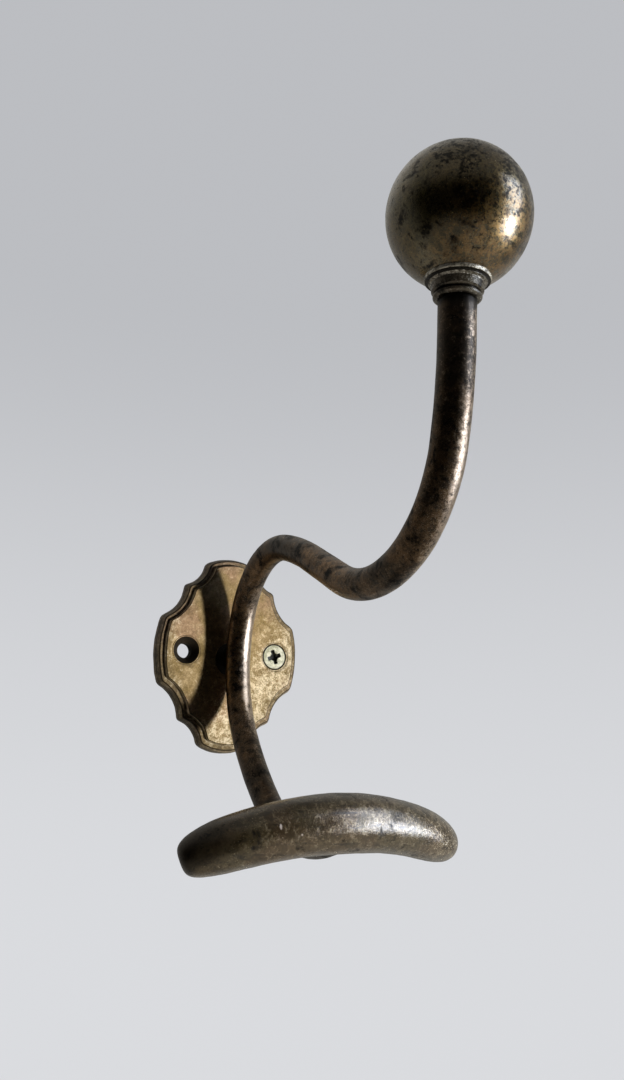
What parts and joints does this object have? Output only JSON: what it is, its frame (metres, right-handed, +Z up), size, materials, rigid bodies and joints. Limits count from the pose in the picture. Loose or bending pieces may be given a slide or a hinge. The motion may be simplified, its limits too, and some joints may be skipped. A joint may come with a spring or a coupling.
{
  "type": "coat and hat hook",
  "caption": "Wall hook for coats and hats: a curved brass arm with a ball knob above and a drooping crossbar below, on a scalloped backplate with countersunk screw holes.",
  "frame": {"origin": "centre of the backplate's back face, on the wall", "axes": "+X to the right as the hook is looked at from the room, +Y into the wall along the screws, +Z up; the arm lies in the plane X = 0"},
  "size_m": [0.0799, 0.1755, 0.1681],
  "materials": {
    "plate_brass": "satin brass, worn bright on the face, dark in the steps of the rim",
    "arm_brass": "aged brass, dark brown patina rubbed to gold and copper on its right side",
    "collar_brass": "turned brass, pale rings with dark grooves",
    "ball_brass": "aged brass, olive brown with dark spots and a soft sheen",
    "bar_brass": "cast brass worn to a grey brown with a fine grain",
    "screw_steel": "zinc-plated steel with a pale yellow tint"
  },
  "bodies": {
    "root": {"backplate": "plate_brass", "stem": "arm_brass", "collar": "collar_brass", "ball_knob": "ball_brass", "crossbar": "bar_brass", "wood_screw": "screw_steel"}
  },
  "joints": []
}
